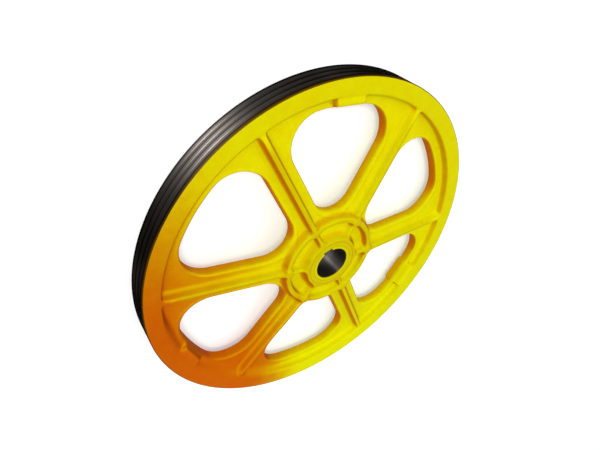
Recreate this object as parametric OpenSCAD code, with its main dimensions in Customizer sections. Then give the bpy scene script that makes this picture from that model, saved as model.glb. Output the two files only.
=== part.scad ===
// Wire rope sheave: one cast wheel with three machined rope grooves in its rim.
// The wheel lies flat with its axis on +Z and its back face on z = 0.
// The dished web carries six windows, and a rib runs along the middle of each spoke.

/* [Rim] */
// Outside diameter over the lands between the grooves
rim_d = 600; // [580:5:680]
// Width of the rim along the axis
rim_w = 45; // [42:1:56]
// Radial width of the flat front face of the rim
rim_front_wall = 27.7; // [24:0.1:32]
// Radial width of the back face of the rim
rim_back_wall = 14; // [12:0.5:20]
// Radius on the two outer edges of the rim
rim_edge_r = 1.2; // [0.6:0.1:2]

/* [Rope grooves] */
// Diameter of the wire rope
rope_d = 8; // [6:0.5:9]
// Number of rope grooves
groove_count = 3; // [1:1:3]
// Distance between neighbouring grooves along the axis
groove_pitch = 12; // [11:0.5:13]
// Extra radius of a groove over the radius of the rope
groove_clearance = 0.2; // [0.1:0.1:0.5]
// Depth of a groove below the lands
groove_depth = 3.4; // [2.4:0.1:4]

/* [Web] */
// Thickness of the web
web_t = 17; // [12:0.5:19]
// Depth of the web below the front face of the rim
web_recess = 14.3; // [11:0.1:18]
// Angle at which the web rises towards the hub
web_angle = 6.05; // [5:0.05:7]
// Fillet radius where the web meets the rim
web_fillet = 5; // [3:0.5:7]
// Draft of the step between the web and the front face of the rim
step_draft = 1.2; // [0.6:0.1:2]
// Draft of the inside of the rim behind the web
rim_back_draft = 3.5; // [2:0.5:5]

/* [Windows] */
// Number of windows, which is also the number of spokes
window_count = 6; // [6:1:7]
// Width of a spoke between two windows
spoke_w = 46.6; // [42:0.2:52]
// Distance from the inside of the rim to a window
window_gap = 18; // [15:0.5:24]
// Corner radius at the rim end of a window
window_rim_r = 47.7; // [30:0.1:50]
// Radius of the round hub end of a window
window_hub_r = 41.5; // [34:0.1:45]
// Width of the raised bead around a window
bead_w = 7; // [5:0.5:9]
// Height of the raised bead above the web
bead_h = 1.3; // [0.8:0.1:2]

/* [Ribs] */
// Width of a spoke rib at its top
rib_top_w = 7.5; // [6:0.5:10]
// Width of a spoke rib where it meets the web
rib_base_w = 12.5; // [11:0.5:16]
// Fillet radius along the foot of a rib
rib_fillet = 4; // [2:0.5:5]
// Radius on the top edges of a rib
rib_edge_r = 2; // [1:0.1:2.8]
// Width at its top of a rib between the boss and the hub ring
hub_rib_w = 10; // [8:0.5:13]
// How far the ribs inside the hub ring lie below the line of the spoke ribs
hub_rib_drop = 1; // [0.5:0.1:3]

/* [Hub] */
// Diameter of the bore
bore_d = 56; // [50:1:60]
// Width of the keyway
key_w = 16; // [14:1:18]
// Depth of the keyway from the bore
key_depth = 4.3; // [3.8:0.1:5]
// Direction of the keyway, counted from the +X axis
key_angle = 84; // [60:1:120]
// Bevel at each end of the bore
bore_bevel = 1; // [0.5:0.1:1.5]
// Diameter of the boss at its front face
boss_d = 92; // [84:1:100]
// Height of the boss above the front face of the rim
boss_rise = 24.4; // [22:0.1:30]
// Draft of the boss down to the floor of the pockets
boss_draft = 4; // [2:0.5:6]
// Outside diameter of the hub ring at its top
ring_d = 163.2; // [156:0.2:168]
// Width of the hub ring at its top
ring_w = 8; // [6:0.5:10]
// Draft of each side of the hub ring
ring_draft = 4; // [3:0.5:5]
// Depth of the pockets below the web at the hub ring
pocket_sink = 1; // [0:0.5:3]
// Fillet radius at the floor of the pockets
pocket_fillet = 6; // [3:0.5:7]
// Diameter of the boss at the back face
back_boss_d = 100; // [92:1:116]
// Draft of the back boss up to the web
back_boss_draft = 5; // [3:0.5:8]
// Fillet radius where the back boss meets the web
back_fillet = 9; // [4:0.5:12]

/* [Pads] */
// Number of pads on the inside of the rim
pad_count = 3; // [2:1:3]
// Width of a pad around the rim
pad_w = 50; // [36:1:60]
// Radial length of a pad from the inside of the rim
pad_len = 13.7; // [10:0.1:16]
// Height of the lower end of a pad above the back face
pad_lift = 7.5; // [4:0.5:12]

/* [Hidden] */
$fn = 96;

cut = 1;                                 // how far a cutter runs past a face
join = 2;                                // how far a piece of the casting runs into the next
seam = 0.05;                             // how far a straight side lies inside the arcs it joins
foot_sink = 0.3;                         // how far the foot of a rib lies under the web
arc_steps = 5;                           // straight steps in a small rounded corner
edge_r = 2.5;                            // radius on the cast edges of the hub

rim_r = rim_d / 2;
rim_front_r = rim_r - rim_front_wall;    // inner edge of the front face of the rim
rim_back_r = rim_r - rim_back_wall;      // inner edge of the back face of the rim
groove_r = rope_d / 2 + groove_clearance;
groove_centre_r = rim_r - groove_depth + groove_r;

rise = tan(web_angle);
ring_r = ring_d / 2;
ring_inner_r = ring_r - ring_w;
ring_middle_r = ring_r - ring_w / 2;
ring_foot_r = ring_r + ring_draft;
boss_r = boss_d / 2;
hub_top = rim_w + boss_rise;
back_boss_r = back_boss_d / 2;
ring_top = rib_z(ring_middle_r);
pocket_z = web_z(ring_inner_r) - pocket_sink;

window_rim_edge = rim_front_r - window_gap;
window_half_angle = 180 / window_count;
spoke_angle = 90;                        // one spoke lies along +Y
pad_angle = spoke_angle - window_half_angle;
pad_inner_r = rim_front_r - pad_len;

front_rib_h = web_recess * cos(web_angle);
back_rib_h = (web_z(rim_back_r) - web_t) * cos(web_angle);

// Height of the front surface of the web at radius r, before the web is thickened
function web_z(r) = rim_w - web_recess + rise * (rim_front_r - r);

// Height of the tops of the front ribs, which run level with the front face of the rim
function rib_z(r) = web_z(r) + web_recess;

function unit(v) = v / norm(v);

// Points of an arc of radius r that rounds corner p between the points a and b
function corner(a, p, b, r) =
    let (to_a = unit(a - p),
         to_b = unit(b - p),
         half = acos(to_a * to_b) / 2,
         centre = p + unit(to_a + to_b) * r / sin(half),
         first = p + to_a * r / tan(half) - centre,
         last = p + to_b * r / tan(half) - centre,
         side = first[0] * last[1] - first[1] * last[0] > 0 ? 1 : -1,
         start = atan2(first[1], first[0]))
    [for (i = [0 : arc_steps])
        let (a = start + side * (180 - 2 * half) * i / arc_steps)
        centre + r * [cos(a), sin(a)]];

// Outline through points [x, y, radius], where a radius of 0 leaves a sharp corner
function rounded(points) =
    let (n = len(points), flat = [for (p = points) [p[0], p[1]]])
    [for (i = [0 : n - 1])
        each points[i][2] > 0
            ? corner(flat[(i + n - 1) % n], flat[i], flat[(i + 1) % n], points[i][2])
            : [flat[i]]];

// Section of the whole wheel, from the axis out to the lands of the rim and back
module wheel_section() {
    step_foot_r = rim_front_r - step_draft;
    back_foot_r = rim_back_r - rim_back_draft;
    back_boss_foot_r = back_boss_r + back_boss_draft;
    front = [
        [0, hub_top, 0],
        [boss_r, hub_top, edge_r],
        [boss_r + boss_draft, pocket_z, pocket_fillet],
        [ring_inner_r - ring_draft, pocket_z, pocket_fillet],
        [ring_inner_r, ring_top, edge_r],
        [ring_r, ring_top, edge_r],
        [ring_foot_r, web_z(ring_foot_r), edge_r],
        [step_foot_r, web_z(step_foot_r), web_fillet],
        [rim_front_r, rim_w, rim_edge_r],
        [rim_r, rim_w, rim_edge_r]
    ];
    back = [
        [rim_r, 0, rim_edge_r],
        [rim_back_r, 0, rim_edge_r],
        [back_foot_r, web_z(back_foot_r) - web_t, web_fillet],
        [back_boss_foot_r, web_z(back_boss_foot_r) - web_t, back_fillet],
        [back_boss_r, 0, edge_r],
        [0, 0, 0]
    ];
    polygon(rounded(concat(front, back)));
}

// Outline of one window along +X, wider all round by grow.
// Its straight sides and its rim side lie a seam inside the round corners that they join.
module window_outline(grow) {
    spoke_half = spoke_w / 2;
    rim_centre_v = spoke_half + window_rim_r;
    rim_centre_u = sqrt(pow(window_rim_edge - window_rim_r, 2) - pow(rim_centre_v, 2));
    hub_centre_x = (spoke_half + window_hub_r) / sin(window_half_angle);
    rim_centre = [
        rim_centre_u * cos(window_half_angle) + rim_centre_v * sin(window_half_angle),
        rim_centre_u * sin(window_half_angle) - rim_centre_v * cos(window_half_angle)
    ];
    away = [-sin(window_half_angle), cos(window_half_angle)];
    upper = [
        [hub_centre_x, 0],
        [hub_centre_x, 0] + away * (window_hub_r + grow - seam),
        rim_centre + away * (window_rim_r + grow - seam),
        rim_centre,
        rim_centre * rim_r / norm(rim_centre)
    ];
    lower = [for (i = [len(upper) - 1 : -1 : 1]) [upper[i][0], -upper[i][1]]];
    intersection() {
        circle(r = window_rim_edge + grow - seam);
        polygon(concat(upper, lower));
    }
    for (side = [-1, 1])
        translate([rim_centre[0], side * rim_centre[1]]) circle(r = window_rim_r + grow);
    translate([hub_centre_x, 0]) circle(r = window_hub_r + grow);
}

// All windows as tall prisms that stay outside the radius hub_limit_r
module windows(grow, hub_limit_r) {
    linear_extrude(hub_top)
        difference() {
            for (i = [0 : window_count - 1])
                rotate(spoke_angle + window_half_angle * (2 * i + 1)) window_outline(grow);
            circle(r = hub_limit_r);
        }
}

// The web grown by the height of the bead on both sides
module bead_layer() {
    outer = rim_front_r - step_draft;
    rotate_extrude()
        polygon([
            [ring_middle_r, web_z(ring_middle_r) + bead_h],
            [outer, web_z(outer) + bead_h],
            [outer, web_z(outer) - web_t - bead_h],
            [ring_middle_r, web_z(ring_middle_r) - web_t - bead_h]
        ]);
}

module beads() {
    intersection() {
        bead_layer();
        windows(bead_w, ring_middle_r);
    }
}

// Section of a rib that stands on the web, with its foot on the x axis
module rib_section(top_w, base_w, height) {
    tail = base_w / 2 + rib_fillet;
    polygon(rounded([
        [-tail, -join, 0],
        [-tail, -foot_sink, 0],
        [-base_w / 2, -foot_sink, rib_fillet],
        [-top_w / 2, height, rib_edge_r],
        [top_w / 2, height, rib_edge_r],
        [base_w / 2, -foot_sink, rib_fillet],
        [tail, -foot_sink, 0],
        [tail, -join, 0]
    ]));
}

// A rib along +X that follows the slope of the web from radius r0 to radius r1.
// It stands on the web, or hangs below it with turn = 180.
module sloped_rib(r0, r1, top_w, base_w, height, turn = 0) {
    rotate([0, web_angle, 0])
        rotate([turn, 0, 0])
            translate([r0, 0, 0])
                rotate([90, 0, 90])
                    linear_extrude(r1 - r0) rib_section(top_w, base_w, height);
}

// Ribs on the front of the spokes, with wider ones between the boss and the hub ring
module front_ribs() {
    hub_rib_start_r = boss_r - 2 * join;
    hub_rib_base_w = hub_rib_w + rib_base_w - rib_top_w;
    hub_rib_h = front_rib_h - hub_rib_drop;
    translate([0, 0, web_z(0)])
        for (i = [0 : window_count - 1])
            rotate(spoke_angle + 2 * window_half_angle * i) {
                sloped_rib(ring_middle_r, rim_front_r + join, rib_top_w, rib_base_w, front_rib_h);
                sloped_rib(hub_rib_start_r, ring_middle_r, hub_rib_w, hub_rib_base_w, hub_rib_h);
            }
}

// Ribs on the back of the spokes, level with the back face of the rim
module back_ribs() {
    rib_end_r = rim_back_r + join;
    intersection() {
        translate([0, 0, web_z(0) - web_t])
            for (i = [0 : window_count - 1])
                rotate(spoke_angle + 2 * window_half_angle * i)
                    sloped_rib(back_boss_r, rib_end_r, rib_top_w, rib_base_w, back_rib_h, 180);
        cylinder(r = rim_r - rim_back_wall / 2, h = hub_top);
    }
}

// Pads that stand on the inside of the rim, halfway along a window
module pads() {
    translate([0, 0, pad_lift])
        linear_extrude(rim_w - pad_lift)
            intersection() {
                difference() {
                    circle(r = rim_back_r + join);
                    circle(r = pad_inner_r);
                }
                for (i = [0 : pad_count - 1])
                    rotate(pad_angle + 360 / pad_count * i)
                        translate([0, -pad_w / 2]) square([rim_r, pad_w]);
            }
}

module grooves() {
    first = (rim_w - groove_pitch * (groove_count - 1)) / 2;
    rotate_extrude()
        for (i = [0 : groove_count - 1])
            translate([groove_centre_r, first + groove_pitch * i]) circle(r = groove_r);
}

module bore() {
    bore_r = bore_d / 2;
    translate([0, 0, -cut]) cylinder(r = bore_r, h = hub_top + 2 * cut);
    for (top = [0, 1])
        translate([0, 0, top * hub_top])
            mirror([0, 0, top])
                translate([0, 0, -cut])
                    cylinder(r1 = bore_r + bore_bevel + cut, r2 = bore_r, h = bore_bevel + cut);
    rotate(key_angle)
        translate([0, -key_w / 2, -cut])
            cube([bore_r + key_depth, key_w, hub_top + 2 * cut]);
}

module sheave() {
    color([0.91, 0.84, 0.05])
        difference() {
            union() {
                rotate_extrude() wheel_section();
                beads();
                front_ribs();
                back_ribs();
                pads();
            }
            windows(0, ring_foot_r);
            grooves();
            bore();
        }
}

sheave();
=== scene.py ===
"""Looks of the wire rope sheave: a painted casting with bare rim and bore, on a plain pale floor."""

import math

import bpy
import numpy as np
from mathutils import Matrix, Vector
from mathutils.geometry import delaunay_2d_cdt


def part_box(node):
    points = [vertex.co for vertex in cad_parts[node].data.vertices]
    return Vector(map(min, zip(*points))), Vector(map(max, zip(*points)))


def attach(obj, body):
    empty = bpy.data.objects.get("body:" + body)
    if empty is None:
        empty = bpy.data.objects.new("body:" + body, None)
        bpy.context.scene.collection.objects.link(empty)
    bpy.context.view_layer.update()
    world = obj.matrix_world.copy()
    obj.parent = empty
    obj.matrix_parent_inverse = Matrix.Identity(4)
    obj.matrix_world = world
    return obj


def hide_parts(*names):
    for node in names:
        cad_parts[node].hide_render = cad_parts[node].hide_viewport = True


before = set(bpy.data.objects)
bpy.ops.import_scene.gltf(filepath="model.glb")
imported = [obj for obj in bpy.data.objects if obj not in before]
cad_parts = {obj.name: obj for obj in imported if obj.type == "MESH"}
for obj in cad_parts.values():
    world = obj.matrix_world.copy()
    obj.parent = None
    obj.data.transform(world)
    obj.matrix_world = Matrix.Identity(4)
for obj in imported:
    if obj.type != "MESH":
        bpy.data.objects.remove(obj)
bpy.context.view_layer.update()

MM = 0.001                      # metres in a millimetre; the sizes below are in millimetres

# ---------------------------------------------------------------- sizes of the casting

low, high = (np.array(corner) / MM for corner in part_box("sheave"))
RIM_R = min(high[0] - low[0], high[1] - low[1]) / 2
HUB_TOP = high[2]
RIM_W = 45.0
RIM_FRONT_R = RIM_R - 27.7      # inner edge of the rim's front face
RIM_BACK_R = RIM_R - 14.0       # inner edge of the rim's back face
RIM_EDGE_R = 1.2
STEP_DRAFT = 1.2                # how far the step from the rim down to the web leans
RIM_BACK_DRAFT = 3.5
RIM_BACK_H = 14.0               # height over which the rim's back wall leans by its draft
DRAFT_END = 1.5                 # a wall goes on leaning up to this multiple of its height

GROOVE_COUNT = 3
GROOVE_PITCH = 12.0
GROOVE_R = 4.2
GROOVE_DEPTH = 3.4
LIP_W = 0.35                    # the rounded lip on each side of a groove
LIP_DROP = 0.12
LIP_RISE = 0.08
LIP_ANGLE = 0.12                # what the lip takes from the arc of the groove, in radians

WEB_T = 17.0
WEB_RECESS = 14.3               # depth of the web below the rim's front face
WEB_ANGLE = math.radians(6.05)
RISE = math.tan(WEB_ANGLE)
TILT = math.cos(WEB_ANGLE)

SECTORS = 6
SPOKE_HALF = 23.3
WINDOW_RIM_EDGE = RIM_FRONT_R - 18.0
WINDOW_RIM_R = 47.7
WINDOW_HUB_R = 41.5
BEAD_W = 8.0
BEAD_H = 1.5
BEAD_FLAT = 0.3                 # share of the bead's width that is level

RIB_TOP_HALF = 3.75
RIB_BASE_HALF = 6.25
RIB_H = WEB_RECESS * TILT
RIB_SIDE_COS = 0.98             # cosine of the draft on the sides of a rib
HUB_RIB_TOP_HALF = 2.8
HUB_RIB_BASE_HALF = 5.0
HUB_RIB_DROP = 1.0

BORE_R = 28.0
BORE_BEVEL = 1.0
KEY_HALF = 8.0
KEY_DEPTH = 4.3
KEY_ANGLE = math.radians(84.0)
BOSS_R = 46.0
BOSS_DRAFT = 4.0
RING_R = 81.6
RING_HALF = 4.0
RING_MIDDLE_R = RING_R - RING_HALF
RING_DRAFT = 4.0
RING_INNER_DRAFT = 2.0
RING_DRAFT_END = 1.2
RING_SIDE_COS = 0.96
POCKET_EDGE_W = 8.0             # the blends of the pockets begin this far inside the ring
BACK_BOSS_R = 50.0
BACK_BOSS_DRAFT = 5.0

PAD_COUNT = 3
PAD_HALF = 25.0
PAD_INNER_R = RIM_FRONT_R - 13.7
PAD_DRAFT = 6.0
PAD_FACE_H = 20.0               # height over which a pad's inner face leans by its draft
PAD_FACE_COS = 0.96
PAD_LIFT = 10.5
PAD_ANGLE = math.radians(60.0)

# How wide the blends between two surfaces are
HIDDEN_BLEND = 1.0              # deep in the casting, where nothing shows
WINDOW_BLEND = 3.0
WINDOW_FRONT_BLEND = 3.5        # added on the front side of a window's edge
WINDOW_FRONT_H = 4.0
RIM_BLEND = 6.5
PAD_SIDE_BLEND = 4.0
PAD_FOOT_BLEND = 3.0
PAD_TOP_BLEND = 5.0
PAD_BLEND = 3.0
RING_TOP_BLEND = 4.0
RIB_TOP_BLEND = 4.0
RIB_END_BLEND = 3.0             # between a spoke rib and a hub rib
RING_RIB_BLEND = 8.0
WEB_BLEND = 8.0                 # between the web and the ribs and ring
POCKET_BLEND = 7.0              # the same, inside the ring
BOSS_BLEND = 10.0
BACK_RIB_BLEND = 6.0
BACK_BOSS_BLEND = 11.0
FACE_BLEND = 1.5                # on the edges of the flat faces
STEP_EDGE_BLEND = 2.5           # added on the inner edge of the rim's front face
STEP_EDGE_W = 5.0
STEP_EDGE_PEAK = 1.6

# The soft place, where the edges of the casting are rounder: where it lies, and what it adds
SOFT_AZ = (153, 166, 218, 240)
SOFT_R = (130, 190)
SOFT_BEAD_W = 5.0
SOFT_WINDOW_BLEND = 1.0
SOFT_STEP_DRAFT = 11.0
SOFT_STEP_END = 0.9
SOFT_RIM_BLEND = 6.0
SOFT_PAD_DRAFT = 0.8            # share of the pad's draft that goes
SOFT_PAD_BLEND = 4.0
SOFT_RIB_BLEND = 4.0
SOFT_STEP_EDGE_BLEND = 3.0

# Above this line nothing stands: the slope of the spoke ribs, which runs into the rim's front face
TOP_SLACK = 0.35                # the line rises by this much a millimetre more than the ribs
TOP_SLACK_W = 10.0              # and starts to do so this far inside the rim's front face

GRID = 1.5                      # spacing of the grid that the casting is modelled on
GRID_FIRST_Z = -2.3 * GRID      # no level of the grid lies in a flat face
CASTING_TRIANGLES = 145000
FACE_CUT_FRONT = 284.0          # the flat faces are cut at these radii and filled from there on
FACE_CUT_BACK = 291.0
FACE_CUT_HUB = 38.0
FACE_RING_R = FACE_CUT_BACK + 1.5  # the first ring of the turned part, on both faces of the rim
RIM_SEGMENTS = 384
EDGE_POINTS = 6
GROOVE_POINTS = 11
BORE_POINTS = 120
SHARP_ANGLE = math.radians(32)  # edges that turn by more are kept sharp


def web_z(r):
    """Height of the front of the web."""
    return RIM_W - WEB_RECESS + RISE * (RIM_FRONT_R - r)


RIM_MIDDLE_Z = web_z(RIM_FRONT_R) - WEB_T / 2


# ---------------------------------------------------------------- the casting as a distance field

def smooth_min(a, b, k):
    """The smaller of two distances, with a blend about k wide where they are alike."""
    h = np.maximum(k - np.abs(a - b), 0.0) / k
    return np.minimum(a, b) - h * h * k * 0.25


def smooth_max(a, b, k):
    return -smooth_min(-a, -b, k)


def smooth_step(a, b, value):
    """0 up to a and 1 from b on."""
    t = np.clip((value - a) / (b - a), 0.0, 1.0)
    return t * t * (3 - 2 * t)


def between(value, a, b, c, d):
    """0 up to a, 1 from b to c and 0 from d on."""
    return smooth_step(a, b, value) * (1 - smooth_step(c, d, value))


def azimuth(x, y):
    """Direction seen from the axis, in degrees from 0 to 360."""
    return np.degrees(np.arctan2(y, x)) % 360


def blurred(x, y, r):
    """1 in the soft place, where the edges of the casting are rounder, and 0 elsewhere."""
    return between(azimuth(x, y), *SOFT_AZ) * smooth_step(*SOFT_R, r)


def fold(x, y, count, angle):
    """Length along and width across the nearest of count axes, the first of them at angle."""
    step = 2 * math.pi / count
    az = np.arctan2(y, x) - angle
    az = az - step * np.round(az / step)
    r = np.hypot(x, y)
    return r * np.cos(az), np.abs(r * np.sin(az))


def window_distance(x, y, r):
    """Distance to the outline of the nearest window, negative inside it."""
    u, v = fold(x, y, SECTORS, math.pi / SECTORS)
    rim_v = SPOKE_HALF + WINDOW_RIM_R
    rim_u = math.sqrt((WINDOW_RIM_EDGE - WINDOW_RIM_R) ** 2 - rim_v ** 2)
    hub_v = SPOKE_HALF + WINDOW_HUB_R
    hub_u = hub_v / math.tan(math.pi / SECTORS)
    straight = np.maximum(SPOKE_HALF - v, r - WINDOW_RIM_EDGE)
    corner = np.hypot(u - rim_u, v - rim_v) - WINDOW_RIM_R
    end = np.hypot(u - hub_u, v - hub_v) - WINDOW_HUB_R
    in_corner = (u > rim_u) & (v * rim_u < u * rim_v)
    return np.where(u < hub_u, end, np.where(in_corner, corner, straight))


def web(z, front, window, soft):
    """The dished plate with its windows and the bead around each."""
    swell = (window / (BEAD_W + SOFT_BEAD_W * soft) - BEAD_FLAT) / (1 - BEAD_FLAT)
    bead = BEAD_H * (0.5 + 0.5 * np.cos(math.pi * np.clip(swell, 0.0, 1.0)))
    slab = np.maximum(z - front - bead, front - WEB_T - bead - z) * TILT
    upper = np.clip((z - front + WEB_T / 2) / WINDOW_FRONT_H, 0.0, 1.0)
    return smooth_max(slab, -window, WINDOW_BLEND + (WINDOW_FRONT_BLEND + SOFT_WINDOW_BLEND * soft) * upper)


def rim(r, z, soft):
    """The two inner walls of the rim, filled outwards without end."""
    sunk = (RIM_W - z) / WEB_RECESS
    step_r = RIM_FRONT_R - STEP_DRAFT * np.clip(sunk, 0.0, DRAFT_END)
    step_r = step_r - SOFT_STEP_DRAFT * soft * np.clip(sunk, 0.0, SOFT_STEP_END)
    back_r = RIM_BACK_R - RIM_BACK_DRAFT * np.clip(z / RIM_BACK_H, 0.0, DRAFT_END)
    front_half = smooth_max(step_r - r, RIM_MIDDLE_Z - z, HIDDEN_BLEND)
    back_half = smooth_max(back_r - r, z - RIM_MIDDLE_Z, HIDDEN_BLEND)
    return np.minimum(front_half, back_half)


def pads(x, y, z, soft):
    """The flat pads at the inner edge of the rim's front face."""
    along, across = fold(x, y, PAD_COUNT, PAD_ANGLE)
    draft = PAD_DRAFT * (1 - SOFT_PAD_DRAFT * soft)
    face = PAD_INNER_R - draft * np.clip((RIM_W - z) / PAD_FACE_H, 0.0, 1.0) - along
    pad = smooth_max(across - PAD_HALF, face * PAD_FACE_COS, PAD_SIDE_BLEND)
    pad = smooth_max(pad, PAD_LIFT - z, PAD_FOOT_BLEND)
    return smooth_max(pad, z - RIM_W, PAD_TOP_BLEND)


def hub_ring(r, z, front):
    """The ring around the boss."""
    top = web_z(RING_MIDDLE_R) + WEB_RECESS
    sunk = np.clip((top - z) / WEB_RECESS, 0.0, RING_DRAFT_END)
    draft = np.where(r < RING_MIDDLE_R, RING_INNER_DRAFT, RING_DRAFT)
    ring = np.abs(r - RING_MIDDLE_R) - RING_HALF - draft * sunk
    ring = smooth_max(ring * RING_SIDE_COS, z - top, RING_TOP_BLEND)
    return smooth_max(ring, front - WEB_T / 2 - z, HIDDEN_BLEND)


def rib(length, width, above, top_half, base_half, height, rounding=RIB_TOP_BLEND):
    """An endless rib along an axis; above is the height over the face that it stands on."""
    side = width - base_half + (base_half - top_half) * np.clip(above / height, -1.0, 1.0)
    side = np.maximum(side * RIB_SIDE_COS, -above - WEB_T / 2)
    return smooth_max(side, above - height, rounding)


def front_ribs(length, width, z, soft):
    """The ribs on the spokes, and the thinner ones inside the ring."""
    above = (z - web_z(length)) * TILT
    rounding = RIB_TOP_BLEND + SOFT_RIB_BLEND * soft
    spoke_rib = rib(length, width, above, RIB_TOP_HALF, RIB_BASE_HALF, RIB_H, rounding)
    spoke_rib = np.maximum(spoke_rib, RING_MIDDLE_R - length)
    hub_rib = rib(length, width, above, HUB_RIB_TOP_HALF, HUB_RIB_BASE_HALF, RIB_H - HUB_RIB_DROP)
    hub_rib = np.maximum(hub_rib, length - RING_MIDDLE_R)
    return smooth_min(spoke_rib, hub_rib, RIB_END_BLEND)


def back_ribs(length, width, z):
    below = (web_z(length) - WEB_T - z) * TILT
    height = (web_z(RIM_BACK_R) - WEB_T) * TILT
    back_rib = rib(length, width, below, RIB_TOP_HALF, RIB_BASE_HALF, height)
    return np.maximum(back_rib, BACK_BOSS_R - length)


def front_boss(r, z):
    sunk = np.clip((HUB_TOP - z) / (HUB_TOP - web_z(BOSS_R)), 0.0, DRAFT_END)
    return smooth_max(r - BOSS_R - BOSS_DRAFT * sunk, RIM_MIDDLE_Z - z, HIDDEN_BLEND)


def back_boss(r, z, front):
    raised = np.clip(z / web_z(BACK_BOSS_R), 0.0, 1.0)
    return smooth_max(r - BACK_BOSS_R - BACK_BOSS_DRAFT * raised, z - front + WEB_T / 2, HIDDEN_BLEND)


def top_line(r):
    """Height above which nothing stands."""
    ribs = RIM_W + np.maximum(RISE * (RIM_FRONT_R - r), 0.0)
    slack = TOP_SLACK * np.maximum(RIM_FRONT_R - TOP_SLACK_W - r, 0.0)
    return np.minimum(ribs + slack, HUB_TOP)


def casting(x, y, z):
    """Signed distance to the surface of the casting, without its bore and grooves."""
    r = np.hypot(x, y)
    length, width = fold(x, y, SECTORS, math.pi / SECTORS)
    front = web_z(r)
    soft = blurred(x, y, r)

    body = web(z, front, window_distance(x, y, r), soft)
    body = smooth_min(body, rim(r, z, soft), RIM_BLEND + SOFT_RIM_BLEND * soft)
    body = smooth_min(body, pads(x, y, z, soft), PAD_BLEND + SOFT_PAD_BLEND * soft)

    raised = smooth_min(hub_ring(r, z, front), front_ribs(length, width, z, soft), RING_RIB_BLEND)
    in_hub = np.clip((RING_R - r) / POCKET_EDGE_W, 0.0, 1.0)
    body = smooth_min(body, raised, WEB_BLEND - (WEB_BLEND - POCKET_BLEND) * in_hub)
    body = smooth_min(body, front_boss(r, z), BOSS_BLEND)
    body = smooth_min(body, back_ribs(length, width, z), BACK_RIB_BLEND)
    body = smooth_min(body, back_boss(r, z, front), BACK_BOSS_BLEND)

    by_step = np.clip(STEP_EDGE_PEAK - np.abs(r - RIM_FRONT_R) / STEP_EDGE_W, 0.0, 1.0)
    edge = FACE_BLEND + (STEP_EDGE_BLEND + SOFT_STEP_EDGE_BLEND * soft) * by_step
    body = smooth_max(body, z - top_line(r), edge)
    return smooth_max(body, -z, FACE_BLEND)


def casting_slope(at, step=0.25):
    """Gradient of the distance field at each point."""
    x, y, z = at.T
    return np.stack([
        casting(x + step, y, z) - casting(x - step, y, z),
        casting(x, y + step, z) - casting(x, y - step, z),
        casting(x, y, z + step) - casting(x, y, z - step),
    ], axis=1) / (2 * step)


def unit(vectors):
    return vectors / np.maximum(np.linalg.norm(vectors, axis=1, keepdims=True), 1e-6)


# ---------------------------------------------------------------- the casting as a mesh

CORNERS = [(i, j, k) for i in (0, 1) for j in (0, 1) for k in (0, 1)]


def casting_on_grid():
    """The distance field on a regular grid, and the place of the grid's first corner."""
    reach = FACE_CUT_BACK + 3 * GRID
    xs = np.arange(-reach, reach + GRID, GRID)
    zs = np.arange(GRID_FIRST_Z, HUB_TOP + 2 * GRID, GRID)
    field = np.empty((len(xs), len(xs), len(zs)), np.float32)
    plane_x, plane_y = np.meshgrid(xs, xs, indexing="ij")
    for k, z in enumerate(zs):
        field[:, :, k] = casting(plane_x, plane_y, np.full_like(plane_x, z))
    return field, np.array([xs[0], xs[0], zs[0]])


def crossed_cells(inside):
    """The cells of the grid that have corners on both sides of the surface."""
    cells = tuple(n - 1 for n in inside.shape)
    count = np.zeros(cells, np.int8)
    for i, j, k in CORNERS:
        count += inside[i:i + cells[0], j:j + cells[1], k:k + cells[2]]
    return np.argwhere((count > 0) & (count < len(CORNERS)))


def net_points(field, active):
    """A point in each crossed cell, in steps of the grid: the mean of where the surface cuts its edges."""
    total = np.zeros((len(active), 3))
    hits = np.zeros(len(active))
    for a in CORNERS:
        for axis in range(3):
            if a[axis]:
                continue
            b = list(a)
            b[axis] = 1
            at_a = field[tuple((active + a).T)]
            at_b = field[tuple((active + b).T)]
            cross = (at_a < 0) != (at_b < 0)
            point = active + np.array(a) + 0.0
            point[:, axis] += np.where(cross, at_a / np.where(cross, at_a - at_b, 1.0), 0.0)
            total += point * cross[:, None]
            hits += cross
    return total / hits[:, None]


def net_quads(inside, active):
    """A quad for each edge of the grid that the surface cuts, between the points of the cells around it."""
    number = np.full(tuple(n - 1 for n in inside.shape), -1, np.int32)
    number[tuple(active.T)] = np.arange(len(active))
    quads = []
    for axis in range(3):
        u, v = (axis + 1) % 3, (axis + 2) % 3
        near = [slice(1, n - 1) for n in inside.shape]
        far = list(near)
        near[axis] = slice(0, inside.shape[axis] - 1)
        far[axis] = slice(1, inside.shape[axis])
        edges = np.argwhere(inside[tuple(near)] != inside[tuple(far)])
        leaving = inside[tuple(near)][tuple(edges.T)]
        edges = edges + [0 if a == axis else 1 for a in range(3)]
        around = []
        for du, dv in ((0, 0), (-1, 0), (-1, -1), (0, -1)):
            cell = edges.copy()
            cell[:, u] += du
            cell[:, v] += dv
            around.append(number[tuple(cell.T)])
        quad = np.stack(around, axis=1)
        quad[~leaving] = quad[~leaving][:, ::-1]
        quads.append(quad)
    return np.vstack(quads)


def settle(points, rounds=2, limit=GRID, least_slope=0.5):
    """The points moved onto the surface of the casting."""
    for _ in range(rounds):
        gradient = casting_slope(points)
        slope = np.maximum(np.linalg.norm(gradient, axis=1), least_slope)
        move = np.clip(casting(*points.T) / slope, -limit, limit)
        points = points - unit(gradient) * move[:, None]
    return points


def mesh_arrays(mesh):
    """Vertices and triangles of a mesh as arrays."""
    points = np.empty(len(mesh.vertices) * 3)
    mesh.vertices.foreach_get("co", points)
    mesh.calc_loop_triangles()
    triangles = np.empty(len(mesh.loop_triangles) * 3, np.int32)
    mesh.loop_triangles.foreach_get("vertices", triangles)
    return points.reshape(-1, 3), triangles.reshape(-1, 3)


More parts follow.
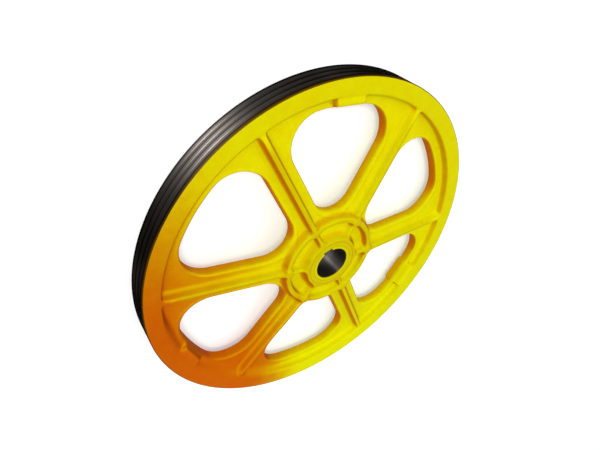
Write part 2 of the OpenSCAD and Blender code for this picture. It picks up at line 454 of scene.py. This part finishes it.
def thinned(points, quads, count):
    """The same surface in about count triangles."""
    mesh = bpy.data.meshes.new("casting_net")
    mesh.from_pydata(points.tolist(), [], quads.tolist())
    obj = bpy.data.objects.new("casting_net", mesh)
    bpy.context.scene.collection.objects.link(obj)
    thin = obj.modifiers.new("thin", "DECIMATE")
    thin.ratio = count / (2 * len(quads))
    thin.use_collapse_triangulate = True
    evaluated = obj.evaluated_get(bpy.context.evaluated_depsgraph_get())
    result = bpy.data.meshes.new_from_object(evaluated)
    arrays = mesh_arrays(result)
    bpy.data.objects.remove(obj)
    bpy.data.meshes.remove(mesh)
    bpy.data.meshes.remove(result)
    return arrays


def build_casting():
    """The casting without its outer rim, with its four flat faces open where they are filled later."""
    field, first_corner = casting_on_grid()
    inside = field < 0
    active = crossed_cells(inside)
    points = settle(net_points(field, active) * GRID + first_corner)
    quads = net_quads(inside, active)
    r = np.hypot(points[:, 0], points[:, 1])
    upper = points[:, 2] > RIM_W / 2
    beyond = (r > FACE_CUT_BACK) | (upper & (r > FACE_CUT_FRONT)) | (r < FACE_CUT_HUB)
    quads = quads[~beyond[quads].any(axis=1)]
    used = np.unique(quads)
    renumber = np.full(len(points), -1)
    renumber[used] = np.arange(len(used))
    return thinned(points[used], renumber[quads], CASTING_TRIANGLES)


def open_loops(triangles):
    """Closed loops of the edges that belong to one triangle only, in the order of the hole."""
    edges = np.vstack([triangles[:, [0, 1]], triangles[:, [1, 2]], triangles[:, [2, 0]]])
    key = edges[:, 0].astype(np.int64) * (triangles.max() + 1) + edges[:, 1]
    back = edges[:, 1].astype(np.int64) * (triangles.max() + 1) + edges[:, 0]
    lone = edges[~np.isin(key, back)]
    follow = {int(a): int(b) for a, b in lone}
    loops = []
    while follow:
        start, at = follow.popitem()
        loop = [start]
        while at != start:
            loop.append(at)
            at = follow.pop(at)
        loops.append(loop)
    return loops


def inside_polygon(points, polygon):
    """Even-odd test of 2-D points against a closed polygon."""
    x, y = points[:, :1], points[:, 1:]
    ax, ay = polygon.T
    bx, by = np.roll(polygon, -1, axis=0).T
    crossing = (ay > y) != (by > y)
    at = ax + (y - ay) * (bx - ax) / np.where(by == ay, 1.0, by - ay)
    return (crossing & (x < at)).sum(axis=1) % 2 == 1


def fill_face(points, outer, inner, up):
    """Triangles of the flat face between two closed loops of vertex numbers."""
    numbers = outer + inner
    flat = points[numbers, :2]
    edges = []
    start = 0
    for loop in (outer, inner):
        edges += [(start + i, start + (i + 1) % len(loop)) for i in range(len(loop))]
        start += len(loop)
    _, _, faces, sources, _, _ = delaunay_2d_cdt([Vector(p) for p in flat], edges, [], 0, 1e-6)
    source = [numbers[own[0]] if own else -1 for own in sources]
    triangles = np.array([[source[i] for i in face] for face in faces])
    a, b, c = (points[triangles[:, n], :2] for n in range(3))
    middle = (a + b + c) / 3
    keep = inside_polygon(middle, flat[:len(outer)]) & ~inside_polygon(middle, flat[len(outer):])
    turn = (b[:, 0] - a[:, 0]) * (c[:, 1] - a[:, 1]) - (b[:, 1] - a[:, 1]) * (c[:, 0] - a[:, 0])
    wrong = (turn > 0) != up
    triangles[wrong] = triangles[wrong][:, ::-1]
    return triangles[keep]


# ---------------------------------------------------------------- rim, bore and flat faces

PAINT, MACHINED, BORE = range(3)


class Shell:
    """The mesh as it is put together: its points, its triangles and the material slot of each triangle."""

    def __init__(self, points, triangles):
        self.points = points
        self.triangles = triangles
        self.slots = np.full(len(triangles), PAINT)

    def add_ring(self, ring):
        """Adds points and returns their numbers."""
        first = len(self.points)
        self.points = np.vstack([self.points, ring])
        return list(range(first, first + len(ring)))

    def add_triangles(self, triangles, slot):
        self.triangles = np.vstack([self.triangles, triangles])
        self.slots = np.append(self.slots, np.full(len(triangles), slot))

    def add_band(self, first, second, slot):
        """Triangles between two closed rings of vertex numbers with as many points each."""
        a, b = np.array(first), np.array(second)
        a2, b2 = np.roll(a, -1), np.roll(b, -1)
        self.add_triangles(np.vstack([np.stack([a, b, b2], axis=1), np.stack([a, b2, a2], axis=1)]), slot)


def rim_profile():
    """Radius and height down the outside of the rim, from its front face to its back face."""
    edge = [math.radians(a) for a in np.linspace(90, 0, EDGE_POINTS)]
    edge_r = RIM_R - RIM_EDGE_R
    line = [(FACE_RING_R, RIM_W)]
    line += [(edge_r + RIM_EDGE_R * math.cos(a), RIM_W - RIM_EDGE_R + RIM_EDGE_R * math.sin(a))
             for a in edge]
    centre_r = RIM_R - GROOVE_DEPTH + GROOVE_R
    half = math.acos((centre_r - RIM_R) / GROOVE_R)
    mouth = GROOVE_R * math.sin(half)
    for i in range(GROOVE_COUNT):
        z = RIM_W / 2 + GROOVE_PITCH * ((GROOVE_COUNT - 1) / 2 - i)
        line += [(RIM_R, z + mouth + LIP_W), (RIM_R - LIP_DROP, z + mouth + LIP_RISE)]
        line += [(centre_r - GROOVE_R * math.cos(a), z + GROOVE_R * math.sin(a))
                 for a in np.linspace(half - LIP_ANGLE, LIP_ANGLE - half, GROOVE_POINTS)]
        line += [(RIM_R - LIP_DROP, z - mouth - LIP_RISE), (RIM_R, z - mouth - LIP_W)]
    line += [(edge_r + RIM_EDGE_R * math.cos(a), RIM_EDGE_R - RIM_EDGE_R * math.sin(a))
             for a in edge[::-1]]
    line.append((FACE_RING_R, 0.0))
    return line


def bore_section(radius, z):
    """Section of the bore with its keyway, counter-clockwise."""
    reach = math.asin(KEY_HALF / radius)
    turn = np.linspace(reach, 2 * math.pi - reach, BORE_POINTS)
    ring = [(radius * math.cos(a), radius * math.sin(a)) for a in turn]
    ring += [(BORE_R + KEY_DEPTH, -KEY_HALF), (BORE_R + KEY_DEPTH, KEY_HALF)]
    c, s = math.cos(KEY_ANGLE), math.sin(KEY_ANGLE)
    return [(c * x - s * y, s * x + c * y, z) for x, y in ring]


def add_rim(shell):
    """The turned outside of the rim; returns its first and its last ring."""
    turn = np.linspace(0, 2 * math.pi, RIM_SEGMENTS, endpoint=False)
    rings = [shell.add_ring(np.stack([r * np.cos(turn), r * np.sin(turn), np.full(RIM_SEGMENTS, z)], axis=1))
             for r, z in rim_profile()]
    for upper, lower in zip(rings, rings[1:]):
        painted_face = upper is rings[0] or lower is rings[-1]
        shell.add_band(upper, lower, PAINT if painted_face else MACHINED)
    return rings[0], rings[-1]


def add_bore(shell):
    """The bore with its keyway and bevels; returns its lowest and its highest ring."""
    sections = ((BORE_R + BORE_BEVEL, 0.0), (BORE_R, BORE_BEVEL),
                (BORE_R, HUB_TOP - BORE_BEVEL), (BORE_R + BORE_BEVEL, HUB_TOP))
    rings = [shell.add_ring(bore_section(r, z)) for r, z in sections]
    for lower, upper, slot in zip(rings, rings[1:], (PAINT, BORE, MACHINED)):
        shell.add_band(lower, upper, slot)
    return rings[0], rings[-1]


def face_hole(points, loops, outer, front):
    """The open loop of one flat face, laid level: on the rim or the hub, on the front or the back."""
    for loop in loops:
        r, z = np.hypot(points[loop, 0], points[loop, 1]).mean(), points[loop, 2].mean()
        if (r > RIM_R / 2) == outer and (z > RIM_W / 2) == front:
            points[loop, 2] = 0.0 if not front else RIM_W if outer else HUB_TOP
            return loop


def whole_sheave():
    """The mesh of the sheave; its first points and triangles are those of the casting."""
    points, triangles = build_casting()
    loops = open_loops(triangles)
    rim_front, rim_back, hub_front, hub_back = (
        face_hole(points, loops, outer, front) for outer in (True, False) for front in (True, False))
    shell = Shell(points, triangles)
    rim_top, rim_bottom = add_rim(shell)
    bore_bottom, bore_top = add_bore(shell)
    for outer, inner, up in ((rim_top, rim_front, True), (rim_bottom, rim_back, False),
                             (hub_front, bore_top, True), (hub_back, bore_bottom, False)):
        shell.add_triangles(fill_face(shell.points, outer, inner, up), PAINT)
    shell.points[:, 2] = np.clip(shell.points[:, 2], 0.0, HUB_TOP)
    return shell, len(points), len(triangles)


# ---------------------------------------------------------------- what the paint and its painted shade follow

# Azimuths are in degrees and radii in millimetres, but for the shares of the rim's radius
SHADED_SECTOR_AZ = (94, 166, 213, 243)   # painted shade turns the paint orange between the middle two
SHADED_SECTOR_SHARE = (0.08, 0.98)       # shares of the rim's radius over which the orange comes in
SHADED_SECTOR_MOST = 0.9
LOWER_AZ = (180, 205)           # from here on the orange reaches further in
LOWER_SHARE = (0.1, 0.3)
LOWER_REACH = 0.3
LEFT_AZ = (175, 200)            # up to here the painted shade is weaker on the tops of the ribs
LEFT_RIB_YELLOW = 0.45
LEFT_WEB_AZ = (165, 190)        # and up to here it is weaker on the web
LEFT_WEB_YELLOW = 0.14
WEB_END_R = (258, 268)
STEP_R = (255, 268)
RIB_FADE_R = (235, 262)         # between these radii the ribs stop counting as raised
RING_COVE_R = (81.5, 83.5, 85.5, 89.5)
BOSS_COVE_R = (46.5, 48.5, 52.0, 57.0)
BOSS_COVE_SHARE = 0.6
POCKET_R = (44, 52, 74, 80)

# How much orange each place adds, most of it painted shade
# painted shade on the walls that face -X, away from the light
SHADED_SIDE_ORANGE = 0.6
RIB_TOP_ORANGE = 0.13
# painted shade in the coves at the foot of the ring and the boss
COVE_SHADE_ORANGE = 0.24
# painted shade on the walls of the windows
WINDOW_SHADE_ORANGE = 0.36
# painted shade on the walls that face away from the light
SHADED_WALL_ORANGE = 0.45
DRIFT_ORANGE = 0.05             # a slow change across the wheel, most at DRIFT_AZ
DRIFT_AZ = 60

SHADED_WALL_AZ = math.radians(310)    # painted shade on the walls that face this way, away from the light
DARKER_SIDE_AZ = 50                    # middle of the side where the raised parts are darker and the rim face gets painted shade
DARKER_SIDE_OFF = (110, 150)           # degrees from the middle over which that ends
DARKER_SIDE_LEAST = 0.1
HUB_DARKER_R = (60, 100)          # inside these radii the raised parts are darker all round
RAISED_DARKER = 0.55
RIM_FACE_SHADE = 0.28

POCKET_LESS_SHADE = 0.5              # the share of the painted crease shade that is left out in the pockets,
STEP_LESS_SHADE = 0.65               # by the rim
SOFT_LESS_SHADE = 0.8                # and in the soft place
SHADED_WALL_CREASE = 0.3


def hollowness(at, step=2.5):
    """Curvature of the casting in 1/mm, both ways added up: above zero in a hollow, below on an edge."""
    total = -6 * casting(*at.T)
    for axis in range(3):
        for side in (-step, step):
            beside = at.copy()
            beside[:, axis] += side
            total += casting(*beside.T)
    return -total / step ** 2


def turned_from_light(normal):
    """1 on the walls and edges that face the azimuth set above, away from the light: where painted shade
    goes.
    """
    return smooth_step(0.15, 0.75, normal[:, 0] * math.cos(SHADED_WALL_AZ) + normal[:, 1] * math.sin(SHADED_WALL_AZ))


def raised_share(r, z):
    """0 at the height of the web and 1 at the height of the rim's front face, the ribs and the hub."""
    return np.clip((z - web_z(r)) / WEB_RECESS, 0.0, 1.0)


def overlaid(*shares):
    """What is covered where each share covers its part of what the others leave."""
    left = 1.0
    for share in shares:
        left = left * (1 - share)
    return 1 - left


def shaded_sector(x, y, z, r, normal):
    """Painted shade that turns the paint orange over one sector: most at the rim, and less on the ribs and
    on the edges that get painted light.
    """
    az = azimuth(x, y)
    inwards = LOWER_REACH * smooth_step(*LOWER_AZ, az) * smooth_step(*LOWER_SHARE, r / RIM_R)
    outwards = smooth_step(*SHADED_SECTOR_SHARE, r / RIM_R) ** (1 - inwards)
    rib_top = raised_share(r, z) * (1 - smooth_step(*RIB_FADE_R, r)) * (1 - smooth_step(*LEFT_AZ, az))
    left_web = (1 - smooth_step(*WEB_END_R, r)) * (1 - smooth_step(*LEFT_WEB_AZ, az))
    # painted shade over one sector of the wheel
    sector_shade = SHADED_SECTOR_MOST * between(az, *SHADED_SECTOR_AZ) * outwards
    sector_shade = sector_shade * (1 - LEFT_RIB_YELLOW * rib_top) * (1 - LEFT_WEB_YELLOW * left_web)
    # painted light: what faces +Y, towards the key light, is yellower, the more so where it also faces up
    lit_edge = smooth_step(0.1, 0.45, normal[:, 1]) * (0.15 + 0.35 * smooth_step(0.3, 0.8, normal[:, 2]))
    return sector_shade * (1 - lit_edge * (1 - 0.4 * blurred(x, y, r)))


def hue_and_shade(at, normal):
    """0 where the paint is lemon yellow, 1 where it is deep orange; most of the orange is painted shade."""
    x, y, z = at.T
    r = np.hypot(x, y)
    depth = (web_z(r) - z) / WEB_T
    # painted shade on the walls of the windows, more the deeper they go
    window_shade = (1 - smooth_step(1.0, 3.0, window_distance(x, y, r))) * smooth_step(0.05, 0.6, depth)
    by_rim = smooth_step(*STEP_R, r) * (1 - smooth_step(0.05, 0.2, depth))
    # painted shade on the walls that face -X
    shaded_side = smooth_step(0.45, 1.0, -normal[:, 0]) * (1 - 0.5 * by_rim)
    rib_top = raised_share(r, z) * (1 - smooth_step(*RIB_FADE_R, r)) * smooth_step(0.8, 1.0, normal[:, 2])
    # painted shade in the coves
    cove_shade = between(r, *RING_COVE_R) + BOSS_COVE_SHARE * between(r, *BOSS_COVE_R)
    cove_shade *= (1 - smooth_step(0.8, 0.95, normal[:, 2])) * smooth_step(0, 1, (z - web_z(r)) / 2 + 1.5)
    hue = overlaid(shaded_sector(x, y, z, r, normal), SHADED_SIDE_ORANGE * shaded_side, RIB_TOP_ORANGE * rib_top,
                   COVE_SHADE_ORANGE * cove_shade, WINDOW_SHADE_ORANGE * window_shade, SHADED_WALL_ORANGE * turned_from_light(normal))
    return hue + DRIFT_ORANGE * np.cos(np.radians(azimuth(x, y) - DRIFT_AZ)) * r / RIM_R


def darkening(at, normal):
    """0 where the paint keeps its colour, 1 where darkest: darker ribs and hub, weaker painted shade on one
    side of the rim face, painted shade on walls facing away.
    """
    x, y, z = at.T
    r = np.hypot(x, y)
    off = np.abs((azimuth(x, y) - DARKER_SIDE_AZ + 180) % 360 - 180)
    darker_side = 1 - smooth_step(*DARKER_SIDE_OFF, off)
    raised = raised_share(r, z) ** 2 * (1 - smooth_step(*RIB_FADE_R, r))
    raised *= DARKER_SIDE_LEAST + (1 - DARKER_SIDE_LEAST) * np.maximum(darker_side, 1 - smooth_step(*HUB_DARKER_R, r))
    # painted shade on the rim face, on the darker side
    rim_face = smooth_step(RIM_FRONT_R - 3, RIM_FRONT_R, r) * smooth_step(RIM_W - 3, RIM_W - 0.5, z)
    darkened = np.maximum(RAISED_DARKER * raised, RIM_FACE_SHADE * rim_face * darker_side)
    # painted shade on the walls that face away from the light
    return np.maximum(darkened, turned_from_light(normal))


def crease_shading(at, normal, casting_count):
    """Painted shade in hollow corners, but less in the pockets, by the rim and in the soft place, and more
    on walls facing away from the light.
    """
    x, y, _ = at.T
    r = np.hypot(x, y)
    crease_shade = np.zeros(len(at))
    crease_shade[:casting_count] = hollowness(at[:casting_count])
    crease_shade *= 1 - POCKET_LESS_SHADE * between(r, *POCKET_R)
    crease_shade *= 1 - STEP_LESS_SHADE * smooth_step(*STEP_R, r)
    crease_shade *= 1 - SOFT_LESS_SHADE * blurred(x, y, r)
    # more painted shade on the walls that face away from the light
    return crease_shade + SHADED_WALL_CREASE * turned_from_light(normal)


def sheave_mesh():
    """The mesh with its material slots, its normals and the attributes that the paint reads."""
    shell, casting_points, casting_triangles = whole_sheave()
    normals = np.zeros((len(shell.points), 3))
    normals[:casting_points] = unit(casting_slope(shell.points[:casting_points]))

    mesh = bpy.data.meshes.new("sheave_casting")
    mesh.from_pydata((shell.points * MM).tolist(), [], shell.triangles.tolist())
    mesh.polygons.foreach_set("material_index", shell.slots.astype(np.int32))
    mesh.polygons.foreach_set("use_smooth", np.ones(len(shell.triangles), bool))
    for name, values in (("hue", hue_and_shade(shell.points, normals)),
                         ("crease_shade", crease_shading(shell.points, normals, casting_points)),
                         ("darker", darkening(shell.points, normals))):
        mesh.attributes.new(name, "FLOAT", "POINT").data.foreach_set("value", values.astype(np.float32))

    mesh.set_sharp_from_angle(angle=SHARP_ANGLE)
    corner_normals = np.zeros((len(shell.triangles), 3, 3))
    corner_normals[:casting_triangles] = normals[shell.triangles[:casting_triangles]]
    mesh.normals_split_custom_set(corner_normals.reshape(-1, 3).tolist())
    return mesh


# ---------------------------------------------------------------- materials

def srgb(r, g, b):
    linear = [((c / 255 + 0.055) / 1.055) ** 2.4 if c > 10 else c / 255 / 12.92 for c in (r, g, b)]
    return (*linear, 1.0)


def is_seen(nodes, links):
    """1 for the rays that show a backdrop, directly or in metal, and 0 for those that light the scene."""
    path = nodes.new("ShaderNodeLightPath").outputs
    total = path["Is Camera Ray"]
    for name in ("Is Glossy Ray", "Is Transmission Ray"):
        node = nodes.new("ShaderNodeMath")
        node.operation = "MAXIMUM"
        links.new(total, node.inputs[0])
        links.new(path[name], node.inputs[1])
        total = node.outputs[0]
    return total


class Graph:
    """A node material with short calls for the nodes that are used here."""

    def __init__(self, name):
        self.material = bpy.data.materials.new(name)
        self.material.use_nodes = True
        self.nodes = self.material.node_tree.nodes
        self.links = self.material.node_tree.links
        self.shader = self.nodes["Principled BSDF"]
        self.place = self.nodes.new("ShaderNodeTexCoord").outputs["Object"]

    def set(self, socket, value):
        if isinstance(value, bpy.types.NodeSocket):
            self.links.new(value, socket)
        else:
            socket.default_value = value

    def attribute(self, name):
        node = self.nodes.new("ShaderNodeAttribute")
        node.attribute_name = name
        return node.outputs["Fac"]

    def noise(self, scale, detail=3.0, roughness=0.55, place=None):
        node = self.nodes.new("ShaderNodeTexNoise")
        self.set(node.inputs["Vector"], place or self.place)
        node.inputs["Scale"].default_value = scale
        node.inputs["Detail"].default_value = detail
        node.inputs["Roughness"].default_value = roughness
        return node.outputs["Fac"]

    def math(self, operation, a, b=0.0, clamp=False):
        node = self.nodes.new("ShaderNodeMath")
        node.operation = operation
        node.use_clamp = clamp
        self.set(node.inputs[0], a)
        self.set(node.inputs[1], b)
        return node.outputs[0]

    def plus(self, a, b, clamp=False):
        return self.math("ADD", a, b, clamp)

    def minus(self, a, b):
        return self.math("SUBTRACT", a, b)

    def times(self, a, b, clamp=False):
        return self.math("MULTIPLY", a, b, clamp)

    def spread(self, value, low, high, to_low=0.0, to_high=1.0):
        """The value carried over from the range low to high to the range to_low to to_high."""
        node = self.nodes.new("ShaderNodeMapRange")
        self.set(node.inputs["Value"], value)
        for name, number in (("From Min", low), ("From Max", high), ("To Min", to_low), ("To Max", to_high)):
            node.inputs[name].default_value = number
        return node.outputs["Result"]

    def bell(self, angle, middle, spread):
        """1 at the middle angle and falling off on both sides; the two numbers are in degrees."""
        off = self.math("DIVIDE", self.minus(angle, math.radians(middle)), math.radians(spread))
        return self.math("POWER", math.e, self.times(self.times(off, off), -0.5))

    def bells(self, angle, parts):
        """The sum of several bells, each given by its middle, its spread and its height."""
        total = 0.0
        for middle, spread, height in parts:
            total = self.plus(self.times(self.bell(angle, middle, spread), height), total)
        return total

    def flecks(self, scale, strength, detail=3.0, roughness=0.55):
        """Noise that varies about 0."""
        return self.times(self.minus(self.noise(scale, detail, roughness), 0.5), strength)

    def ramp(self, value, stops):
        node = self.nodes.new("ShaderNodeValToRGB")
        self.set(node.inputs["Fac"], value)
        stock = node.color_ramp.elements
        while len(stock) < len(stops):
            stock.new(0.5)
        for element, (at, colour) in zip(stock, stops):
            element.position = at
            element.color = srgb(*colour)
        return node.outputs["Color"]

    def mix(self, share, a, b, blend="MIX"):
        """A mix of two colours, which are inputs 6 and 7 and output 2 of the node."""
        node = self.nodes.new("ShaderNodeMix")
        node.data_type = "RGBA"
        node.blend_type = blend
        self.set(node.inputs["Factor"], share)
        self.set(node.inputs[6], a)
        self.set(node.inputs[7], b)
        return node.outputs[2]

    def cylinder(self):
        """Radius, direction and height of the point that is shaded, about the axis of the wheel."""
        node = self.nodes.new("ShaderNodeSeparateXYZ")
        self.links.new(self.place, node.inputs[0])
        x, y, z = node.outputs
        r = self.math("SQRT", self.plus(self.times(x, x), self.times(y, y)))
        return r, self.math("ARCTAN2", y, x), z

    def tool_marks(self, around, z, fineness):
        """Fine lines round the axis, as a lathe leaves them."""
        node = self.nodes.new("ShaderNodeCombineXYZ")
        self.set(node.inputs["X"], self.times(around, 4.0))
        self.set(node.inputs["Z"], self.times(z, fineness))
        return self.noise(1.0, 3.0, place=node.outputs[0])

    def bump(self, height, strength, distance):
        node = self.nodes.new("ShaderNodeBump")
        node.inputs["Strength"].default_value = strength
        node.inputs["Distance"].default_value = distance
        self.set(node.inputs["Height"], height)
        self.links.new(node.outputs["Normal"], self.shader.inputs["Normal"])

    def finish(self, colour, metallic, roughness):
        self.set(self.shader.inputs["Base Color"], colour)
        self.shader.inputs["Metallic"].default_value = metallic
        self.set(self.shader.inputs["Roughness"], roughness)
        return self.material


PAINT_STOPS = (                 # from fresh lemon yellow to deep orange, most of which stands for painted shade
    (0.0, (233, 233, 0)),
    (0.17, (229, 211, 0)),
    (0.33, (221, 180, 0)),
    (0.5, (214, 150, 0)),
    (0.67, (210, 127, 0)),
    (0.83, (208, 106, 0)),
    (1.0, (208, 90, 0)),
)
LEAST_HUE = 0.06                # where fresh paint lies on this scale
# colour of the painted shade in hollow corners
CREASE_SHADE_COLOUR = srgb(150, 80, 0)
CREASE_RANGE = (0.06, 0.3)      # the curvature, in 1/mm, at which the painted shade begins and at which it is full
CREASE_SHARE = 0.45
# multiplied in where the paint is darker and where painted shade falls
DARKENING_COLOUR = (0.72, 0.72, 0.72, 1)
FACING_COLOUR = srgb(160, 124, 0)
FACING_MARKS = (34.5, 41.5)     # radii of the two fine rings on the front of the boss
FACING_MARK_EDGE = (1.0, 0.3)   # distances from such a radius at which the ring begins and is full
FACING_STRENGTH = 0.4
GRAIN_STRENGTH = 0.35
GRAIN_HEIGHT = 0.9

GREASE_COLOUR = srgb(12, 10, 8)
DRY_GREASE_COLOUR = srgb(24, 21, 18)
# colour of the painted highlight on the rim
RIM_HIGHLIGHT_COLOUR = srgb(136, 128, 122)
MARGIN_COLOUR = srgb(104, 76, 0)
RIM_TINT = (0.12, 0.11, 0.1, 1)
RIM_HIGHLIGHT = (101, 6.6, 0.85), (93, 19, 0.1)  # painted highlight across the rim: azimuth, spread, strength
CLEAN_MARGIN = (119, 9)         # where the least paint has run over the rim's edge
MARGIN_Z = (40.5, 45.5)         # heights between which the paint comes in, lower by up to MARGIN_WAVE
MARGIN_WAVE = 4.0
RIM_MARKS = 1400                # how fine the tool marks are on the rim, and in the bore
BORE_MARKS = 900

STEEL_COLOURS = srgb(84, 74, 72), srgb(112, 100, 96)
# colour of the painted highlight in the bore
BORE_HIGHLIGHT_COLOUR = srgb(255, 247, 240)
BORE_HIGHLIGHT = (-79, 4.8, 0.62), (-68, 15, 0.38)  # the painted highlight streak down the bore
BORE_HIGHLIGHT_Z = (28, 50)             # the painted highlight is weaker below the first height and whole above the second
# colour of the painted shade deep in the bore
BORE_SHADE_COLOUR = srgb(20, 14, 8)
BORE_SHADE_Z = (30, 26)               # painted shade: the bore gets dark from the first height down to the second


def painted():
    g = Graph("sheave_paint")
    hue = g.plus(g.plus(g.attribute("hue"), g.flecks(60, 0.24, 5.0, 0.65)), g.flecks(420, 0.12))
    colour = g.ramp(g.plus(hue, LEAST_HUE, clamp=True), PAINT_STOPS)
    # painted shade in hollow corners
    colour = g.mix(g.spread(g.attribute("crease_shade"), *CREASE_RANGE, 0.0, CREASE_SHARE), colour, CREASE_SHADE_COLOUR)
    # darker on the raised parts and where painted shade falls
    colour = g.mix(g.attribute("darker"), colour, DARKENING_COLOUR, "MULTIPLY")

    r, _, z = g.cylinder()
    marks = 0.0
    for mark_r in FACING_MARKS:
        off = g.math("ABSOLUTE", g.minus(r, mark_r * MM))
        begins, full = FACING_MARK_EDGE
        marks = g.math("MAXIMUM", g.spread(off, begins * MM, full * MM), marks)
    on_face = g.spread(z, (HUB_TOP - 0.6) * MM, (HUB_TOP - 0.2) * MM)
    colour = g.mix(g.times(g.times(marks, on_face), FACING_STRENGTH), colour, FACING_COLOUR)

    g.shader.inputs["Specular IOR Level"].default_value = 0.015
    grain = g.plus(g.times(g.noise(160, 2.0), 0.6), g.times(g.noise(700, 2.0), 0.4))
    g.bump(grain, GRAIN_STRENGTH, GRAIN_HEIGHT * MM)
    return g.finish(colour, metallic=0.0, roughness=0.55)


def turned():
    """The bare rim: dark with grease, with a painted highlight across it in one place, with paint run over
    its front edge.
    """
    g = Graph("turned_rim")
    r, around, z = g.cylinder()
    marks = g.tool_marks(around, z, RIM_MARKS)
    groove = g.spread(r, (RIM_R - 0.15) * MM, (RIM_R - 0.9) * MM)

    # a painted highlight across the rim, with faint patches round the rest of it
    highlight = g.plus(g.bells(around, RIM_HIGHLIGHT), g.spread(g.noise(9, 2.0), 0.5, 0.8, 0.0, 0.08))
    # 0.5 in the middle of a groove; from there to the next land on its front side painted shade cuts the
    # highlight back
    turn = g.math("FRACT", g.plus(g.math("DIVIDE", g.minus(z, RIM_W / 2 * MM), GROOVE_PITCH * MM), 0.5))
    lip_shade = g.times(g.spread(turn, 0.47, 0.53), g.spread(turn, 0.98, 0.93))
    highlight = g.times(highlight, g.spread(lip_shade, 0, 1, 1.0, 0.25))
    highlight = g.times(highlight, g.spread(z, 37.5 * MM, 39 * MM, 1.0, 0.45))
    highlight = g.times(highlight, g.spread(groove, 0, 1, 1.0, 0.78))
    highlight = g.times(highlight, g.spread(marks, 0.3, 0.7, 0.75, 1.1), clamp=True)

    metal = g.mix(highlight, g.mix(marks, GREASE_COLOUR, DRY_GREASE_COLOUR), RIM_HIGHLIGHT_COLOUR)
    wavy = g.plus(z, g.times(g.noise(60, 3.0), MARGIN_WAVE * MM))
    margin = g.spread(wavy, MARGIN_Z[0] * MM, MARGIN_Z[1] * MM, 0.0, 0.8)
    margin = g.times(margin, g.spread(g.bell(around, *CLEAN_MARGIN), 0, 1, 1.0, 0.3))
    g.shader.inputs["Specular Tint"].default_value = RIM_TINT
    colour = g.mix(margin, metal, MARGIN_COLOUR)
    return g.finish(colour, metallic=1.0, roughness=g.spread(groove, 0, 1, 0.45, 0.36))


def bored():
    """The bare bore, with a painted highlight streak down it and painted shade towards the back."""
    g = Graph("turned_bore")
    _, around, z = g.cylinder()
    steel = g.mix(g.tool_marks(around, z, BORE_MARKS), *STEEL_COLOURS)
    # a painted highlight streak down the bore
    bore_highlight = g.times(g.bells(around, BORE_HIGHLIGHT), g.spread(z, BORE_HIGHLIGHT_Z[0] * MM, BORE_HIGHLIGHT_Z[1] * MM, 0.5, 1.0))
    lit = g.mix(bore_highlight, steel, BORE_HIGHLIGHT_COLOUR)
    # painted shade deep in the bore
    colour = g.mix(g.spread(z, BORE_SHADE_Z[0] * MM, BORE_SHADE_Z[1] * MM, 0.0, 0.85), lit, BORE_SHADE_COLOUR)
    return g.finish(colour, metallic=0.9, roughness=0.3)


sheave = bpy.data.objects.new("sheave_casting", sheave_mesh())
bpy.context.scene.collection.objects.link(sheave)
for made in (painted(), turned(), bored()):
    sheave.data.materials.append(made)

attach(sheave, "root")
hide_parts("sheave")

# ---------------------------------------------------------------- camera, floor and light

CAMERA_LENS = 30.5557           # mm, on a sensor 36 mm wide
CAMERA_PLACE = (-0.123295, 0.665494, 0.540096)
CAMERA_TURN = (-39.9549, -32.289, -21.46)
FLOOR_SIZE = 40                 # m
FLOOR_GREY = 0.85
FLOOR_GLOW = 0.42               # what brings the floor up to white where it is seen
WORLD_LIGHT = 0.66              # the light of the white surroundings on the scene
LAMP_DISTANCE = 5.2             # m
WHITE = (1, 1, 1, 1)


def add_camera():
    camera = bpy.data.objects.new("camera", bpy.data.cameras.new("camera"))
    camera.data.lens = CAMERA_LENS
    camera.data.sensor_width = 36.0
    camera.location = CAMERA_PLACE
    camera.rotation_euler = tuple(math.radians(a) for a in CAMERA_TURN)
    bpy.context.scene.collection.objects.link(camera)
    bpy.context.scene.camera = camera


def pale_floor():
    g = Graph("floor")
    g.shader.inputs["Emission Color"].default_value = WHITE
    g.set(g.shader.inputs["Emission Strength"], g.times(is_seen(g.nodes, g.links), FLOOR_GLOW))
    return g.finish((FLOOR_GREY, FLOOR_GREY, FLOOR_GREY, 1), metallic=0.0, roughness=0.9)


def add_world():
    """White where it is seen, and dimmer as a light."""
    world = bpy.data.worlds.new("studio")
    bpy.context.scene.world = world
    world.use_nodes = True
    nodes, links = world.node_tree.nodes, world.node_tree.links
    nodes["Background"].inputs["Color"].default_value = WHITE
    level = nodes.new("ShaderNodeMapRange")
    level.inputs["To Min"].default_value = WORLD_LIGHT
    links.new(is_seen(nodes, links), level.inputs["Value"])
    links.new(level.outputs["Result"], nodes["Background"].inputs["Strength"])


def area_light(name, az, elevation, size, power):
    """A square lamp that shines on the middle of the sheave from a direction in degrees."""
    a, e = math.radians(az), math.radians(elevation)
    direction = Vector((math.cos(e) * math.cos(a), math.cos(e) * math.sin(a), math.sin(e)))
    lamp = bpy.data.lights.new(name, "AREA")
    lamp.shape = "SQUARE"
    lamp.size = size
    lamp.energy = power
    obj = bpy.data.objects.new(name, lamp)
    obj.location = LAMP_DISTANCE * direction
    obj.rotation_euler = (-obj.location).to_track_quat("-Z", "Y").to_euler()
    bpy.context.scene.collection.objects.link(obj)


add_camera()
bpy.ops.mesh.primitive_plane_add(size=FLOOR_SIZE)
floor = bpy.context.object
floor.name = "floor"
floor.data.materials.append(pale_floor())
add_world()
area_light("key", az=102, elevation=48, size=1.0, power=90)
area_light("side", az=30, elevation=45, size=3.2, power=32)
bpy.context.scene.view_settings.view_transform = "Standard"
